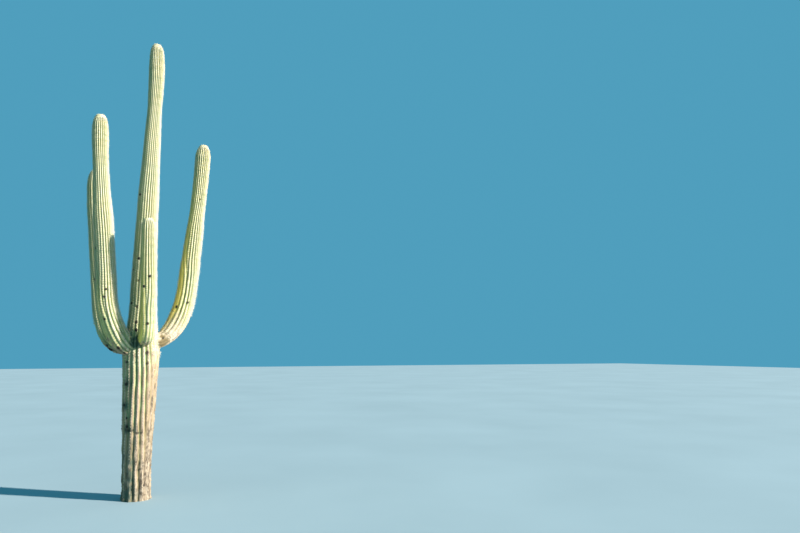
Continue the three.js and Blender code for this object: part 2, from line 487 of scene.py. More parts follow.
def rib_angles(name, shares, along, heights, seed):
    """Where each rib starts round the stem and how wide it is, with a slight wander."""
    ribs = LIMBS[name]["ribs"]
    widths = 2 * math.pi * shares / shares.sum(1)[:, None]
    starts = np.cumsum(widths, 1) - widths
    turn = np.radians(smooth_at(ribs["faces"], heights))
    if name != "trunk":
        turn = turn - math.radians(ARMS[name]["heading"] + 90)
    known = ribs.get("known", 0)
    starts += (turn - starts[:, known] - widths[:, known] / 2)[:, None]
    for i in range(shares.shape[1]):
        starts[:, i] += RIB_WANDER * widths[:, i] * ripples(seed + 7 * i + 1, along, WANDER_LENGTH)
    widths = np.roll(starts, -1, 1) - starts
    widths[:, -1] += 2 * math.pi
    return starts, widths


def worn(name, heights, outward):
    """How far each point's pleats have worn flat."""
    if name != "trunk":
        return np.zeros(outward.shape[:2])
    low = fade(WEATHERED_BELOW - heights, WEATHER_FADE)[:, None]
    return low * fade(outward @ SUNNY_SIDE - 0.68, 0.15)


def at_neck(name, along, key):
    """An arm's value for its neck, fading out round the bend."""
    return LIMBS[name].get(key, 0.0) * fade(NECK_END - along, NECK_FADE)[:, None]


def flattened(name, along, heights, outward):
    """How much of each pleat's depth is gone."""
    if name != "trunk":
        return at_neck(name, along, "smooth_neck")
    low = fade(SWOLLEN_BELOW - heights, WEATHER_FADE)[:, None]
    shady = fade(-outward[:, :, 0] - 0.2, 0.25)
    old = OLD_SHARE * fade(WEATHERED_BELOW - heights, WEATHER_FADE)[:, None]
    return np.maximum(old, WORN_SHARE * np.maximum(worn(name, heights, outward), low * shady))


def bumpiness(name, heights):
    """How much each ring swells at its areoles."""
    if name != "trunk":
        return np.ones(len(heights))
    return 1 - WORN_BUMPS * fade(WEATHERED_BELOW - heights, 0.4)


def pleats(name, heights, shares):
    """How high on its rib each point is, 0 to 1, and the swell of its ring."""
    crest = 1 - np.abs(2 * PHASES - 1) ** CREST_POWER
    odd = (np.arange(len(heights))[:, None] + np.arange(shares.shape[1])) % 2
    swell = AREOLE_SWELL * bumpiness(name, heights)[:, None, None] * (1 - 2 * odd[:, :, None])
    height = shares[:, :, None] * crest
    return height.reshape(len(heights), -1), (1 + swell * crest ** 3).reshape(len(heights), -1)


def stem_surface(name, seed):
    along, centre, tangents = ring_centres(name)
    heights = centre[:, 2]
    across, forward = facings(name, tangents)
    radius = ring_radii(LIMBS[name], along, heights, seed)
    shares = rib_shares(LIMBS[name]["ribs"], along)
    starts, widths = rib_angles(name, shares, along, heights, seed)
    angles = (starts[:, :, None] + widths[:, :, None] * PHASES).reshape(len(along), -1)[:, :, None]
    outward = np.cos(angles) * across[:, None] + np.sin(angles) * forward[:, None]
    height, swell = pleats(name, heights, shares)
    depth = PLEAT_DEPTH * radius[:, None] * (1 - flattened(name, along, heights, outward))
    reach = radius[:, None] - depth + depth * height * swell
    bare = WORN_SHARE * worn(name, heights, outward)
    return SimpleNamespace(
        name=name, along=along, tangents=tangents, shares=shares, outward=outward, centre=centre,
        radius=radius, crest=height * (1 - bare) + BARE_CREST * bare, painted_pinch_shade=painted_pinch_shade(along, seed),
        points=centre[:, None] + outward * reach[:, :, None])


# %% [markdown]
# ## Where the damage is
# Birds drill the flesh and the plant seals each hole with a hard dark callus. Old frost
# wounds heal the same way. A scar is a place on the skin and a size, and a gash is a cut from
# one place to another, all in millimetres. A stain also has a strength. Spots down the shady
# side of the trunk are stained, and the underside of the back arm's elbow and the foot are
# made darker. The crotch between the arms is painted with shade over dark cork, and the necks
# of the left and right arms are painted with shadow and crease shade where they meet the
# trunk.

# %% Scars, stains and painted shade
SCARS = {
    "trunk": [
        (-143, -63, 3463, 15), (-119, -102, 2697, 18), (-166, -49, 2572, 15), (-105, -107, 2441, 13),
        (-161, -62, 2189, 14), (-100, -116, 2141, 16), (-101, -134, 1969, 20), (-101, -156, 1878, 18),
        (27, -184, 1631, 19), (-168, -125, 1512, 15), (-168, -108, 1275, 20), (-177, -89, 1043, 19),
        (-137, -130, 903, 13), (-118, -113, 812, 18), (-188, -12, 785, 19), (26, -147, 336, 12),
        (86, -130, 168, 12), (41, -184, 1504, 12), (119, -96, 1813, 10), (139, -59, 1757, 12),
        (80, 130, 2900, 16), (-150, 90, 1150, 19), (60, 170, 1350, 18),
    ],
    "left_arm": [
        (-567, -256, 2768, 13), (-422, -304, 2313, 14), (-433, -286, 2231, 15), (-430, -265, 1990, 15),
        (-260, -188, 1686, 19), (-208, -158, 1620, 15),
    ],
    "back_arm": [
        (-573, 114, 2467, 15), (-365, 145, 1665, 25), (-400, 148, 1711, 18), (-460, 310, 2900, 15),
    ],
    "right_arm": [
        (547, 66, 3509, 10), (453, 3, 2211, 14), (331, 21, 2167, 16), (290, 43, 2114, 14),
        (197, -36, 1792, 13), (470, 240, 2700, 15),
    ],
    "front_arm": [
        (9, -536, 2456, 16), (-46, -508, 2346, 16), (-5, -493, 1928, 16),
    ],
}
GASHES = [
    (-155, -85, 775, -85, -135, 765, 14), (-30, -160, 740, 12, -165, 732, 12),
    (33, -188, 1490, 30, -190, 1600, 9),
]
# Stains and painted shade. The crotch is painted shade over dark cork, and the left and right necks are
# painted shadow and crease shade. The rest darken the trunk's shady side, the back elbow's underside and
# the foot.
STAINS_AND_PAINTED_SHADE = [
    (-88, -170, 1742, 72, 1.0), (-92, -180, 1715, 62, 0.8), (-365, 145, 1665, 150, 0.4),
    (-249, -187, 1640, 70, 0.3), (195, -40, 1800, 55, 0.8), (-168, -108, 1275, 85, 0.6),
    (-177, -89, 1043, 80, 0.6), (-125, -115, 785, 70, 0.6), (212, -35, 1740, 85, 0.9),
    (-150, -40, 450, 120, 0.45), (-100, -130, 60, 130, 0.5),
]
STAIN_AND_SHADE_EDGE = 1.3
DARK_FOOT = 0.45
DARK_BELOW = 0.8
FAR_LEFT_LIGHTER = 0.85


def stain_and_shade_amount(points):
    """How much each point is darkened by stains and painted shade, fading out to the edge of each."""
    amount = np.zeros(points.shape[:2])
    for *place, size, strength in STAINS_AND_PAINTED_SHADE:
        near = norm(points * 1000 - place, axis=2) / size
        amount = np.maximum(amount, strength * np.clip(STAIN_AND_SHADE_EDGE - near, 0, 1))
    return amount


def dark_foot(surface):
    """How much darker the left side of the foot is made."""
    low = fade(DARK_BELOW - surface.points[:, :, 2], 0.4)
    left = -surface.outward[:, :, 0]
    lighter = 1 - FAR_LEFT_LIGHTER * fade(left - 0.45, 0.3)
    return DARK_FOOT * low * fade(left - 0.06, 0.15) * lighter


def closeness(points, start, end, size):
    """How near each point is to the cut between two places: 1 on it, 0 at its edge."""
    way = end - start
    share = np.clip((points - start) @ way / (way @ way), 0, 1)[:, :, None]
    return np.clip(1 - norm(points - start - share * way, axis=2) / size, 0, 1)


print(sum(len(scars) for scars in SCARS.values()), "scars and", len(STAINS_AND_PAINTED_SHADE), "stains")

# %% [markdown]
# ## Wear the surface
# The old bark is ragged: it stands out in lumps and has split away between them, most of all
# near the ground. The skin is dented where a callus sits, with a swollen lip round it, and
# cut where a gash runs, by shares of the scar's size. Each dent keeps its place, its outward
# direction and the way that the stem runs, so a callus can be set in it.

# %% Lumps, dents and cuts
BARK_LUMP = 0.005
BARK_BELOW = 1.1
LUMP_SIZE = 0.045
FINE_LUMP_SIZE = 0.03
ON_CREST = 0.55
OFF_CREST_PENALTY = 0.05
LIP_PLACE = 1.2
LIP_HEIGHT = 0.1
DENT_DEPTH = 0.3
HALO_EDGE = 1.7
CUT_REACH = 2.2
CUT_DEPTH = 0.9


def lumps(points, size, seed, waves=14):
    """Cloudy lumps of about the given size, between about -1 and 1, the same on each run."""
    rng = np.random.default_rng(seed)
    ways = rng.normal(size=(3, waves))
    ways *= 2 * math.pi / size / norm(ways, axis=0) * rng.uniform(0.4, 1.1, waves)
    return np.sin(points @ ways + rng.uniform(0, 7, waves)).sum(-1) / math.sqrt(waves)


def roughen(surface):
    """Pushes the old trunk's bark in and out, in lumps drawn out along the stem."""
    points = surface.points
    old = fade(BARK_BELOW - points[:, :, 2], BARK_BELOW)
    ragged = np.clip(1.6 * lumps(points * [1, 1, 0.3], LUMP_SIZE, 71), -1, 1)
    ragged += 0.5 * lumps(points, FINE_LUMP_SIZE, 72)
    points += surface.outward * (BARK_LUMP * old * (ragged - 0.6))[:, :, None]


def press_scars(surface):
    """Dents the surface and returns how close to a scar each point is, and the seats."""
    points, outward = surface.points, surface.outward
    halo = np.zeros(points.shape[:2])
    seats = []
    for *place, size in np.array(SCARS[surface.name]) / 1000:
        distance = norm(points - place, axis=2)
        distance += OFF_CREST_PENALTY * (surface.crest < ON_CREST)
        row, column = np.unravel_index(np.argmin(distance), distance.shape)
        seat = points[row, column].copy()
        seats.append((seat, outward[row, column], surface.tangents[row], size))
        near = norm(points - seat, axis=2) / size
        lip = np.clip(1 - np.abs(near - LIP_PLACE) / 0.5, 0, 1)
        dent = np.clip(1 - near ** 2, 0, 1)
        points += outward * (size * (LIP_HEIGHT * lip - DENT_DEPTH * dent))[:, :, None]
        halo = np.maximum(halo, np.clip(HALO_EDGE - near, 0, 1))
    return halo, seats


def cut_gashes(surface, halo):
    """Cuts the gashes into the trunk. Their insides count as scars for the colour."""
    for gash in np.array(GASHES) / 1000:
        start, end, size = gash[:3], gash[3:6], gash[6]
        inside = closeness(surface.points, start, end, CUT_REACH * size)
        surface.points -= surface.outward * (CUT_DEPTH * size * inside)[:, :, None]
        halo = np.maximum(halo, np.clip(2 * inside, 0, 1))
    return halo


# %% [markdown]
# ## Age
# The foot of an old saguaro turns to cork. It starts on the crests, which are cream and
# pinkish, takes the sunny side first, and near the ground it is solid, grey-brown and split.
# The undersides of the elbows and the necks go the same way. Each point keeps its age as an
# attribute that the material reads: green at 0, cream cork at 0.6 and old bark above 1. The
# crests are pale, and on the side away from the sun and in the pinch of each year's band they
# are painted darker, as painted shade. The left side of some arms is painted yellow low down,
# as painted bounced light.

# %% Age of the skin
CORK_HEIGHTS = [(0.0, 1.25), (0.35, 1.05), (0.7, 0.8), (1.0, 0.58), (1.45, 0.42), (1.75, 0.32),
                (2.1, 0.12), (2.8, 0.0)]
CREST_CORK = 0.45
SUNNY_CORK = 0.3
SUNNY_CORK_BELOW = 1.65
UNDER_CORK = 0.7
OLDEST_ARM = 0.9
PAINTED_BOUNCE_SPREAD = 1.4
PAINTED_BOUNCE_FADE = 1.5


def trunk_age(surface):
    heights = surface.points[:, :, 2]
    cork = smooth_at(CORK_HEIGHTS, heights)
    crests = CREST_CORK * (surface.crest - 0.55) * np.clip(2 * cork, 0, 1)
    sunny = worn("trunk", surface.centre[:, 2], surface.outward)
    return cork + crests + SUNNY_CORK * sunny * fade(SUNNY_CORK_BELOW - heights, 0.45)


def arm_age(surface):
    under = np.clip(-1.1 * surface.outward[:, :, 2] - 0.35, 0, 1)
    neck = at_neck(surface.name, surface.along, "neck_cork")
    return np.clip(UNDER_CORK * under + neck, 0, OLDEST_ARM)


def sunlit(outward):
    """How much sun each point gets, for painting light and shade into colours: 0 on the shady side."""
    return np.clip(0.5 + outward @ SUNNY_SIDE, 0, 1)


def painted_bounce_amount(name, heights, outward):
    """How much yellow bounced light is painted on the skin: on the left side of three arms, most of all
    low down.
    """
    limb = LIMBS[name]
    low = fade(limb.get("painted_bounce_below", 0.0) - heights, PAINTED_BOUNCE_FADE)
    return limb.get("painted_bounce", 0.0) * np.clip(-PAINTED_BOUNCE_SPREAD * outward[..., 0], 0, 1) ** 2 * low


# %% [markdown]
# ## From a flat grid to a skin
# The surface starts as a flat grid. Its points are moved into place, which rolls it up like a
# sheet of paper. Then the seam and the tip are merged by distance, the open foot is filled,
# and the normals are made to point outwards.

# %% Roll a grid into a skin
MERGE_WITHIN = 1e-5
SMOOTH_BELOW = 70


def deselect_all():
    if bpy.context.object and bpy.context.object.mode != "OBJECT":
        bpy.ops.object.mode_set(mode="OBJECT")
    bpy.ops.object.select_all(action="DESELECT")


def keep_attribute(mesh, name, values):
    layer = mesh.attributes.new(name, "FLOAT", "POINT")
    layer.data.foreach_set("value", np.ascontiguousarray(values, dtype=np.float32).ravel())


def closed(grid):
    """Repeats the first column after the last one, so that the rolled sheet's edges meet."""
    return np.concatenate([grid, grid[:, :1]], 1)


def sew():
    """Closes the active sheet and turns its normals outwards."""
    bpy.ops.object.mode_set(mode="EDIT")
    bpy.ops.mesh.select_all(action="SELECT")
    bpy.ops.mesh.remove_doubles(threshold=MERGE_WITHIN)
    bpy.ops.mesh.select_all(action="DESELECT")
    bpy.ops.mesh.select_mode(type="EDGE")
    bpy.ops.mesh.select_non_manifold()
    bpy.ops.mesh.edge_face_add()
    bpy.ops.mesh.select_all(action="SELECT")
    bpy.ops.mesh.normals_make_consistent(inside=False)
    bpy.ops.object.mode_set(mode="OBJECT")
    bpy.ops.object.shade_smooth_by_angle(angle=math.radians(SMOOTH_BELOW))


def rolled_skin(surface, layers):
    rows, columns = surface.points.shape[:2]
    deselect_all()
    bpy.ops.mesh.primitive_grid_add(x_subdivisions=columns, y_subdivisions=rows - 1, size=1)
    skin = bpy.context.object
    skin.name = surface.name + "_skin"
    skin.data.vertices.foreach_set("co", closed(surface.points).astype(np.float32).ravel())
    for name, values in layers.items():
        keep_attribute(skin.data, name, closed(values))
    sew()
    return skin


# %% [markdown]
# ## The skin's material
# Living skin is a waxy, yellowish green that goes bluish where the wax is thick. It is
# darkest in the valleys and pale along the crests, less so on the shady side, where shade is
# painted into the colour. Cork takes over with age: cream on the crests, olive brown in the
# valleys, and paler where a neck is smooth. Old bark is brown and grey, in long streaks split
# by cracks. Stains are dark green, and the same green paints the shade in the crotch; on the
# pale neck a brown paints the shade of its crease. The left side of some arms is painted
# yellow as bounced light. Wax is smooth enough for a soft sheen; cork is rough and dull.
#
# Each colour has patches: the pattern that places them, the two values of the pattern between
# which they grow to their full strength, that strength and their colour.

# %% Skin material
GREENS = [(0.0, "#73885a"), (0.3, "#90a068"), (0.7, "#ccc18c"), (1.0, "#f0ddb6")]
CORKS = [(0.0, "#67674a"), (0.35, "#857c58"), (0.7, "#9d8968"), (1.0, "#ac9885")]
BARKS = [(0.0, "#3f3529"), (0.35, "#6f5f4a"), (0.7, "#9a8a71"), (1.0, "#b9a78d")]
GREEN_PATCHES = [("broad", 0.4, 0.65, 0.3, "#86a68c"), ("mottle", 0.45, 0.75, 0.5, "#b3b074")]
CORK_PATCHES = [("mottle", 0.5, 0.7, 0.45, "#b59a80"), ("streak", 0.56, 0.7, 0.5, "#75684f")]
BARK_PATCHES = [("streak", 0.46, 0.6, 0.85, "#4d4335"), ("mottle", 0.5, 0.7, 0.6, "#b9ab93"),
                ("crack", 1.0, 0.0, 0.6, "#2e261d")]
# Painted bounced light: the yellow laid on the left side of three arms.
PAINTED_BOUNCE_SKIN = "#ecd666"
PALE_NECK = "#ddcdb0"
# The green darkens real stains and paints the shade in the crotch and at the left neck. The brown paints
# the crease shade at the right arm's pale neck.
GREEN_STAIN_AND_SHADE = "#395243"
PAINTED_NECK_SHADE = "#75643f"
SCAR_HALO = "#38372a"
BROAD_MM = 450
MOTTLE_MM = 60
STREAK_MM = 26
CRACK_MM = 18
PORE_MM = 7
PORE_RELIEF = 0.002


def skin_patterns(tree, place):
    """The noises that place the patches. Streaks and cracks are drawn out along the stem."""
    mapping = add(tree, "ShaderNodeMapping", {"Vector": place, "Scale": (1, 1, 0.22)})
    drawn_out = mapping.outputs["Vector"]
    cells = add(tree, "ShaderNodeTexVoronoi", {"feature": "DISTANCE_TO_EDGE", "Vector": drawn_out,
                                               "Scale": 1000 / CRACK_MM}).outputs["Distance"]
    return {"broad": noise(tree, place, BROAD_MM, 2.0),
            "mottle": noise(tree, place, MOTTLE_MM, 4.0),
            "streak": noise(tree, drawn_out, STREAK_MM, 4.0),
            "crack": fit_range(tree, cells, 0.0, 0.12)}


def patched(tree, colour, patterns, patches):
    """Lays each patch over the colour."""
    for pattern, low, high, strength, patch in patches:
        grown = fit_range(tree, patterns[pattern], low, high, 0.0, strength)
        colour = blend(tree, grown, colour, patch)
    return colour


def marked(tree, colour, patterns, pale):
    """Darkens the colour with stains and painted shade, and round its scars, in mottled patches."""
    stain_and_shade = blend(tree, pale, GREEN_STAIN_AND_SHADE, PAINTED_NECK_SHADE)
    for name, mottling, shown, mark in (("stain_and_shade", (0.5, 1.4), (0.1, 0.7, 0.0, 0.95), stain_and_shade),
                                        ("halo", (0.6, 1.1), (0.3, 1.0, 0.0, 0.9), SCAR_HALO)):
        mottled = fit_range(tree, patterns["mottle"], 0.35, 0.6, *mottling)
        amount = maths(tree, "MULTIPLY", kept(tree, name), mottled)
        colour = blend(tree, fit_range(tree, amount, *shown), colour, mark)
    return colour


def skin_material():
    material, tree, shader = new_material("waxy_and_corky_cactus_skin")
    place = own_place(tree)
    patterns = skin_patterns(tree, place)
    crest, pale = kept(tree, "crest"), kept(tree, "pale")
    green = patched(tree, ramp(tree, kept(tree, "bleach_and_shade"), GREENS), patterns, GREEN_PATCHES)
    green = blend(tree, kept(tree, "painted_bounce"), green, PAINTED_BOUNCE_SKIN)
    cork = blend(tree, pale, ramp(tree, crest, CORKS), PALE_NECK)
    cork = patched(tree, cork, patterns, CORK_PATCHES)
    bark = patched(tree, ramp(tree, crest, BARKS), patterns, BARK_PATCHES)
    streaky = fit_range(tree, patterns["streak"], 0.3, 0.7, -0.25, 0.25)
    age = maths(tree, "ADD", kept(tree, "age"), streaky)
    corky = fit_range(tree, age, 0.32, 0.62)
    colour = blend(tree, corky, green, cork)
    colour = blend(tree, fit_range(tree, age, 0.85, 1.25), colour, bark)
    cracked = maths(tree, "MULTIPLY", patterns["crack"], corky)
    relief = maths(tree, "ADD", noise(tree, place, PORE_MM), cracked)
    bump = add(tree, "ShaderNodeBump", {"Strength": 0.4, "Distance": PORE_RELIEF, "Height": relief})
    set_up(tree, shader, {"Base Color": marked(tree, colour, patterns, pale), "IOR": 1.45,
                          "Roughness": fit_range(tree, corky, 0.0, 1.0, 0.5, 0.9),
                          "Normal": bump.outputs["Normal"]})
    return material


# %% [markdown]
# ## Make the five skins
# The bark is pushed, dented and cut first, so that the colours follow the finished shape.
# Nothing may reach below the ground. Each skin hides the plain solids of its stem.

# %% Skins
SKIN = skin_material()
PAINTED_SHADE_BLEACH = 0.4
STAIN_AND_SHADE_SPOILS = 1.4
surfaces = {}
seats = {}


def finish_piece(piece, limb, *materials):
    for material in materials:
        piece.data.materials.append(material)
    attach(piece, "root")


def skin_layers(surface, halo, stain_and_shade):
    """What the skin's material reads at each point."""
    name, crest, outward = surface.name, surface.crest, surface.outward
    # Painted shade: the crests' paleness is cut down on the side away from the sun.
    sunny = PAINTED_SHADE_BLEACH + (1 - PAINTED_SHADE_BLEACH) * sunlit(outward)
    bleach_and_shade = crest * sunny * surface.painted_pinch_shade[:, None]
    return {"crest": crest, "bleach_and_shade": bleach_and_shade, "halo": halo, "stain_and_shade": stain_and_shade,
            "age": trunk_age(surface) if name == "trunk" else arm_age(surface),
            "painted_bounce": painted_bounce_amount(name, surface.points[:, :, 2], outward),
            "pale": np.broadcast_to(at_neck(name, surface.along, "pale_neck"), halo.shape)}


def make_skin(name, seed):
    surface = stem_surface(name, seed)
    if name == "trunk":
        roughen(surface)
    halo, seats[name] = press_scars(surface)
    stain_and_shade = stain_and_shade_amount(surface.points)
    if name == "trunk":
        halo = cut_gashes(surface, halo)
        stain_and_shade = np.maximum(stain_and_shade, dark_foot(surface))
    surface.points[:, :, 2] = np.maximum(surface.points[:, :, 2], 0)
    surface.spoilt = np.maximum(halo, STAIN_AND_SHADE_SPOILS * stain_and_shade)
    skin = rolled_skin(surface, skin_layers(surface, halo, stain_and_shade))
    finish_piece(skin, name, SKIN)
    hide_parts(*[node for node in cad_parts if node.startswith(name)])
    surfaces[name] = surface
    print(skin.name, len(skin.data.polygons), "faces")


for number, name in enumerate(LIMBS):
    make_skin(name, 100 * (number + 1))

# %% [markdown]
# ## Calluses
# A callus is a lumpy ring of dark cork round a hollow, whose near black is painted shade on
# dark cork. It is made from a short cylinder: the top is inset and pulled up for the rim, then
# inset again and pushed down for the hollow.
# Random shifts of its corners make a few different ones, which are copied to the dents, most
# of them stretched along the stem, and joined into one piece for each limb.

# %% Calluses
CALLUS_DRAWS = 4
CALLUS_SEED = 404
CALLUS_WIDTH = 0.8
CALLUS_HEIGHT = 0.6
CALLUS_LONG = (0.9, 1.4)
CALLUS_STEPS = [(0.16, 0.14), (0.22, -0.06), (0.14, -0.34)]
HOLLOW_RADIUS = 0.62
GRIME = "#5c4c3b"
GRIME_MM = 8


def callus(seed):
    deselect_all()
    bpy.ops.mesh.primitive_cylinder_add(vertices=12, radius=1, depth=0.7, location=(0, 0, 0))
    scar = bpy.context.object
    for face in scar.data.polygons:
        face.select = face.normal.z > 0.9
    bpy.ops.object.mode_set(mode="EDIT")
    bpy.ops.mesh.select_mode(type="FACE")
    for inward, climb in CALLUS_STEPS:
        bpy.ops.mesh.inset(thickness=inward)
        bpy.ops.transform.translate(value=(0, 0, climb))
    bpy.ops.mesh.select_all(action="SELECT")
    bpy.ops.transform.vertex_random(offset=0.09, seed=seed)
    bpy.ops.mesh.subdivide(smoothness=0.6)
    bpy.ops.mesh.normals_make_consistent(inside=False)
    bpy.ops.object.mode_set(mode="OBJECT")
    bpy.ops.object.shade_smooth()
    for face in scar.data.polygons:
        in_hollow = face.center.xy.length < HOLLOW_RADIUS and face.center.z > 0
        face.material_index = int(in_hollow)
    return scar


def set_callus(template, seat, long):
    place, outward, tangent, size = [Vector(part) for part in seat[:3]] + [seat[3]]
    copy = template.copy()
    copy.data = template.data.copy()
    bpy.context.collection.objects.link(copy)
    side = tangent.cross(outward).normalized()
    width = CALLUS_WIDTH * size
    axes = (side * width, outward.cross(side) * width * long, outward * CALLUS_HEIGHT * size)
    copy.matrix_world = Matrix.Translation(place) @ Matrix(axes).transposed().to_4x4()
    return copy


def joined_copies(name, copies):
    """Joins the copies into one object that stands at the origin, unturned and unscaled."""
    deselect_all()
    for copy in copies:
        copy.select_set(True)
    bpy.context.view_layer.objects.active = copies[0]
    bpy.ops.object.transform_apply()
    bpy.ops.object.join()
    piece = bpy.context.object
    piece.name = name
    return piece


def callus_material(name, colour, rough):
    material, tree, shader = new_material(name)
    shade = fit_range(tree, noise(tree, own_place(tree), GRIME_MM), 0.35, 0.7, 0.0, 0.3)
    set_up(tree, shader, {"Base Color": blend(tree, shade, colour, GRIME), "Roughness": rough})
    return material


RIM_CORK = callus_material("rough_brown_callus_rim", "#262218", 0.85)
# The hollow's near black is dark cork with painted shade.
HOLLOW_CORK_AND_SHADE = callus_material("dark_callus_hollow_with_painted_shade", "#0e0b08", 0.9)
templates = [callus(seed) for seed in range(CALLUS_DRAWS)]
rng = np.random.default_rng(CALLUS_SEED)
for name in LIMBS:
    copies = [set_callus(templates[rng.integers(CALLUS_DRAWS)], seat, rng.uniform(*CALLUS_LONG))
              for seat in seats[name]]
    finish_piece(joined_copies(f"{name}_calluses", copies), name, RIM_CORK, HOLLOW_CORK_AND_SHADE)
for template in templates:
    bpy.data.objects.remove(template)
print("calluses on", len(LIMBS), "stems")

# %% [markdown]
# ## Spines
# Each areole is a felted pad that carries a star of short spines lying along the skin and a
# few longer ones that stand out. A cluster is modelled from three-sided cones, in a few draws,
# and its points are set down thousands of times, turned and sized a little differently. The
# copies of a stem are joined, because that many objects would be slow, and instances are lost
# when the model is exported. Spines are thicker than life, so that they show from a few metres
# away. A star is a number of spines and their length. Tilts are in radians from straight out.

# %% Spine clusters
SPINE_KINDS = {
    "young": {"thick": 0.0012, "middle": 0.019, "lying": (9, 0.017), "standing": (4, 0.019)},
    "grown": {"thick": 0.0013, "middle": 0.022, "lying": (9, 0.02), "standing": (4, 0.022)},
    "old": {"thick": 0.0012, "middle": 0.008, "lying": (5, 0.011), "standing": (0, 0.008)},
}
STARS = {"lying": {"stray": 0.2, "tilts": (1.1, 1.4), "stretch": (0.8, 1.2)},
         "standing": {"stray": 0.3, "tilts": (0.5, 0.9), "stretch": (0.7, 1.2)}}
MIDDLE_TILT = 0.2
CLUSTER_DRAWS = 3
PAD_RADIUS = 0.006
PAD_HEIGHT = 0.004
PAD_RAISED = 0.001
PAD_SHAPE = (1.25, 0.9, 1)


def add_spine(tilt, turn, length, thick):
    lean = math.sin(tilt)
    way = Vector((lean * math.cos(turn), lean * math.sin(turn), math.cos(tilt)))
    bpy.ops.mesh.primitive_cone_add(
        vertices=3, radius1=thick, radius2=0, depth=length,
        location=way * (length / 2), rotation=way.to_track_quat("Z", "Y").to_euler())


def add_star(rng, star, count, length, thick):
    """Adds a ring of spines that lean away from the middle one, each a little differently."""
    for k in range(count):
        turn = 2 * math.pi * (k + rng.uniform(-star["stray"], star["stray"])) / count
        tilt = rng.uniform(*star["tilts"])
        add_spine(tilt, turn, length * rng.uniform(*star["stretch"]), thick)


def taken_apart(piece):
    """A modelled template as arrays of points and triangles. The object itself is removed."""
    mesh = piece.data
    mesh.calc_loop_triangles()
    points = np.array([v.co for v in mesh.vertices])
    faces = np.array([t.vertices for t in mesh.loop_triangles])
    bpy.data.objects.remove(piece)
    return points, faces


def spine_cluster(kind, seed):
    rng = np.random.default_rng(seed)
    deselect_all()
    add_spine(MIDDLE_TILT, 0, kind["middle"], kind["thick"])
    cluster = bpy.context.object
    bpy.ops.object.transform_apply()
    bpy.ops.object.mode_set(mode="EDIT")
    for name, star in STARS.items():
        add_star(rng, star, *kind[name], kind["thick"])
    bpy.ops.object.mode_set(mode="OBJECT")
    return taken_apart(cluster)


def felt_pad():
    deselect_all()
    bpy.ops.mesh.primitive_cone_add(vertices=6, radius1=PAD_RADIUS, radius2=0, depth=PAD_HEIGHT,
                                    location=(0, 0, PAD_RAISED))
    pad = bpy.context.object
    pad.scale = PAD_SHAPE
    bpy.ops.object.transform_apply()
    return taken_apart(pad)


CLUSTERS = {label: [spine_cluster(kind, 11 * k + 5) for k in range(CLUSTER_DRAWS)]
            for label, kind in SPINE_KINDS.items()}
PAD = felt_pad()
print("triangles in a cluster", {label: len(draws[0][1]) for label, draws in CLUSTERS.items()})

# %% [markdown]
# ## Where the areoles sit
# They follow the crests, one on every other ring. A rib that has only just started has none
# yet, and neither has an arm's neck inside the trunk or skin that is scarred, stained or
# painted dark with shade.

# %% Areoles of one stem
SMALLEST_SHARE = 0.45
NECK_BARE = 0.2
FOOT_BARE = 0.06
SCARRED = 0.5


def areoles(surface):
    """Place, three directions and distance from the tip of each areole on the stem."""
    points, shares = surface.points, surface.shares
    rows, count = shares.shape
    crests = np.arange(count) * POINTS_PER_RIB + POINTS_PER_RIB // 2
    row, rib = np.meshgrid(np.arange(1, rows - 2), np.arange(count), indexing="ij")
    bare = FOOT_BARE if surface.name == "trunk" else NECK_BARE
    chosen = ((row + rib) % 2 == 0) & (shares[row, rib] > SMALLEST_SHARE)
    chosen &= (surface.along[row] > bare) & (surface.spoilt[row, crests[rib]] < SCARRED)
    row, column = row[chosen], crests[rib[chosen]]
    outward, along = surface.outward[row, column], surface.along[row]
    up = unit(points[row + 1, column] - points[row - 1, column])
    side = unit(np.cross(up, outward))
    width = 2 * math.pi * surface.radius[row] * shares[row, rib[chosen]] / shares[row].sum(1)
    # Painted light for the spines and felt: how much sun each areole faces, less in band pinches, and
    # the painted bounced light.
    layers = {"bleach_and_shade": sunlit(outward) * surface.painted_pinch_shade[row],
              "painted_bounce": painted_bounce_amount(surface.name, points[row, column, 2], outward)}
    return SimpleNamespace(
        place=points[row, column], up=up, side=side, out=np.cross(side, up), along=along,
        from_tip=surface.along[-1] - along, rib_width=width, under=-outward[:, 2], layers=layers)


def scattered(spots, chosen, template, scale, rng, spin=True):
    """Copies of a template on the chosen spots: points, triangles and each point's layers."""
    points, faces = template
    chosen = np.flatnonzero(chosen)
    turn = rng.uniform(0, 2 * math.pi, len(chosen)) * spin
    size = (scale[chosen] * rng.uniform(0.8, 1.15, len(chosen)))[:, None, None]
    up, side, out = [way[chosen][:, None] for way in (spots.up, spots.side, spots.out)]
    cos, sin = np.cos(turn)[:, None, None], np.sin(turn)[:, None, None]
    x, y, z = [points[None, :, k, None] * size for k in range(3)]
    placed = spots.place[chosen][:, None] + (x * cos - y * sin) * up
    placed = placed + (x * sin + y * cos) * side + z * out
    offsets = np.arange(len(chosen))[:, None, None] * len(points)
    layers = {name: np.repeat(values[chosen], len(points)) for name, values in spots.layers.items()}
    return placed.reshape(-1, 3), (faces[None] + offsets).reshape(-1, 3), layers


def joined_mesh(name, groups):
    """One object from several groups of points, triangles and layers."""
    passed = np.cumsum([0] + [len(points) for points, _, _ in groups])
    faces = np.vstack([group[1] + start for group, start in zip(groups, passed)])
    mesh = bpy.data.meshes.new(name)
    mesh.from_pydata(np.vstack([group[0] for group in groups]), [], faces, shade_flat=False)
    for layer in groups[0][2]:
        keep_attribute(mesh, layer, np.concatenate([group[2][layer] for group in groups]))
    piece = bpy.data.objects.new(name, mesh)
    bpy.context.collection.objects.link(piece)
    return piece


